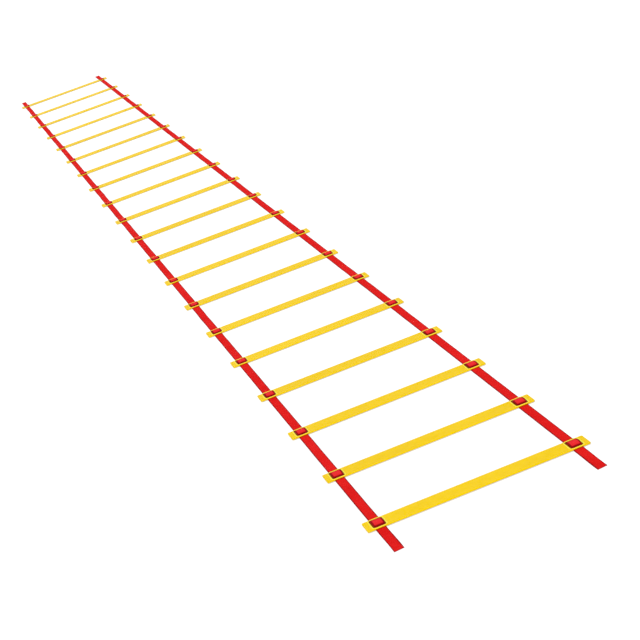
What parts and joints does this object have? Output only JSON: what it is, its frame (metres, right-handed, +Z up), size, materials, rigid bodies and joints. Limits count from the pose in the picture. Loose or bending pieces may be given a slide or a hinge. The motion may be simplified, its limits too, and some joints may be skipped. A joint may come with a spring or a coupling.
{
  "type": "agility ladder",
  "caption": "Floor ladder for footwork drills: flat yellow plastic rungs threaded on two parallel runs of red webbing, free to slide along them and to fold up.",
  "frame": {"origin": "on the floor, in the middle of the laid-out ladder's outline", "axes": "+X across the ladder along a rung, +Y along the straps from the near end, where the bays are shortest, to the far end, +Z up from the floor"},
  "size_m": [0.436, 7.08, 0.009],
  "materials": {
    "webbing": "plain-woven polypropylene webbing, bright red, matt, with denser selvedge edges and cut ends",
    "rung_plastic": "moulded yellow plastic, satin, with fine scuffs and slightly paler edges"
  },
  "bodies": {
    "section_1": {"left_strap_1": "webbing", "right_strap_1": "webbing"},
    "section_2": {"left_strap_2": "webbing", "right_strap_2": "webbing"},
    "section_3": {"left_strap_3": "webbing", "right_strap_3": "webbing"},
    "section_4": {"left_strap_4": "webbing", "right_strap_4": "webbing"},
    "rung_01_body": {"rung_01": "rung_plastic"},
    "rung_02_body": {"rung_02": "rung_plastic"},
    "rung_03_body": {"rung_03": "rung_plastic"},
    "rung_04_body": {"rung_04": "rung_plastic"},
    "rung_05_body": {"rung_05": "rung_plastic"},
    "rung_06_body": {"rung_06": "rung_plastic"},
    "rung_07_body": {"rung_07": "rung_plastic"},
    "rung_08_body": {"rung_08": "rung_plastic"},
    "rung_09_body": {"rung_09": "rung_plastic"},
    "rung_10_body": {"rung_10": "rung_plastic"},
    "rung_11_body": {"rung_11": "rung_plastic"},
    "rung_12_body": {"rung_12": "rung_plastic"},
    "rung_13_body": {"rung_13": "rung_plastic"},
    "rung_14_body": {"rung_14": "rung_plastic"},
    "rung_15_body": {"rung_15": "rung_plastic"},
    "rung_16_body": {"rung_16": "rung_plastic"},
    "rung_17_body": {"rung_17": "rung_plastic"},
    "rung_18_body": {"rung_18": "rung_plastic"},
    "rung_19_body": {"rung_19": "rung_plastic"},
    "rung_20_body": {"rung_20": "rung_plastic"}
  },
  "joints": [
    {"name": "fold_near", "type": "hinge", "parent": "section_2", "child": "section_1", "pos_m": [0, -1.96, 0.0095], "axis": [-1, 0, 0], "range_deg": [0, 180]},
    {"name": "fold_middle", "type": "hinge", "parent": "section_2", "child": "section_3", "pos_m": [0, -0.2475, 0.0095], "axis": [-1, 0, 0], "range_deg": [-180, 0]},
    {"name": "fold_far", "type": "hinge", "parent": "section_3", "child": "section_4", "pos_m": [0, 1.59, 0.0095], "axis": [1, 0, 0], "range_deg": [0, 180]},
    {"name": "rung_01_slide", "type": "slide", "parent": "section_1", "child": "rung_01_body", "axis": [0, 1, 0], "range_m": [-0.106, 0.116], "deforming": ["left_strap_1", "right_strap_1"]},
    {"name": "rung_02_slide", "type": "slide", "parent": "section_1", "child": "rung_02_body", "axis": [0, 1, 0], "range_m": [-0.116, 0.1185], "deforming": ["left_strap_1", "right_strap_1"]},
    {"name": "rung_03_slide", "type": "slide", "parent": "section_1", "child": "rung_03_body", "axis": [0, 1, 0], "range_m": [-0.1185, 0.121], "deforming": ["left_strap_1", "right_strap_1"]},
    {"name": "rung_04_slide", "type": "slide", "parent": "section_1", "child": "rung_04_body", "axis": [0, 1, 0], "range_m": [-0.121, 0.1235], "deforming": ["left_strap_1", "right_strap_1"]},
    {"name": "rung_05_slide", "type": "slide", "parent": "section_1", "child": "rung_05_body", "axis": [0, 1, 0], "range_m": [-0.1235, 0.126], "deforming": ["left_strap_1", "right_strap_1"]},
    {"name": "rung_06_slide", "type": "slide", "parent": "section_2", "child": "rung_06_body", "axis": [0, 1, 0], "range_m": [-0.126, 0.1285], "deforming": ["left_strap_2", "right_strap_2"]},
    {"name": "rung_07_slide", "type": "slide", "parent": "section_2", "child": "rung_07_body", "axis": [0, 1, 0], "range_m": [-0.1285, 0.131], "deforming": ["left_strap_2", "right_strap_2"]},
    {"name": "rung_08_slide", "type": "slide", "parent": "section_2", "child": "rung_08_body", "axis": [0, 1, 0], "range_m": [-0.131, 0.1335], "deforming": ["left_strap_2", "right_strap_2"]},
    {"name": "rung_09_slide", "type": "slide", "parent": "section_2", "child": "rung_09_body", "axis": [0, 1, 0], "range_m": [-0.1335, 0.136], "deforming": ["left_strap_2", "right_strap_2"]},
    {"name": "rung_10_slide", "type": "slide", "parent": "section_2", "child": "rung_10_body", "axis": [0, 1, 0], "range_m": [-0.136, 0.1385], "deforming": ["left_strap_2", "right_strap_2"]},
    {"name": "rung_11_slide", "type": "slide", "parent": "section_3", "child": "rung_11_body", "axis": [0, 1, 0], "range_m": [-0.1385, 0.141], "deforming": ["left_strap_3", "right_strap_3"]},
    {"name": "rung_12_slide", "type": "slide", "parent": "section_3", "child": "rung_12_body", "axis": [0, 1, 0], "range_m": [-0.141, 0.1435], "deforming": ["left_strap_3", "right_strap_3"]},
    {"name": "rung_13_slide", "type": "slide", "parent": "section_3", "child": "rung_13_body", "axis": [0, 1, 0], "range_m": [-0.1435, 0.146], "deforming": ["left_strap_3", "right_strap_3"]},
    {"name": "rung_14_slide", "type": "slide", "parent": "section_3", "child": "rung_14_body", "axis": [0, 1, 0], "range_m": [-0.146, 0.1485], "deforming": ["left_strap_3", "right_strap_3"]},
    {"name": "rung_15_slide", "type": "slide", "parent": "section_3", "child": "rung_15_body", "axis": [0, 1, 0], "range_m": [-0.1485, 0.151], "deforming": ["left_strap_3", "right_strap_3"]},
    {"name": "rung_16_slide", "type": "slide", "parent": "section_4", "child": "rung_16_body", "axis": [0, 1, 0], "range_m": [-0.151, 0.1535], "deforming": ["left_strap_4", "right_strap_4"]},
    {"name": "rung_17_slide", "type": "slide", "parent": "section_4", "child": "rung_17_body", "axis": [0, 1, 0], "range_m": [-0.1535, 0.156], "deforming": ["left_strap_4", "right_strap_4"]},
    {"name": "rung_18_slide", "type": "slide", "parent": "section_4", "child": "rung_18_body", "axis": [0, 1, 0], "range_m": [-0.156, 0.1585], "deforming": ["left_strap_4", "right_strap_4"]},
    {"name": "rung_19_slide", "type": "slide", "parent": "section_4", "child": "rung_19_body", "axis": [0, 1, 0], "range_m": [-0.1585, 0.161], "deforming": ["left_strap_4", "right_strap_4"]},
    {"name": "rung_20_slide", "type": "slide", "parent": "section_4", "child": "rung_20_body", "axis": [0, 1, 0], "range_m": [-0.161, 0.151], "deforming": ["left_strap_4", "right_strap_4"]}
  ]
}
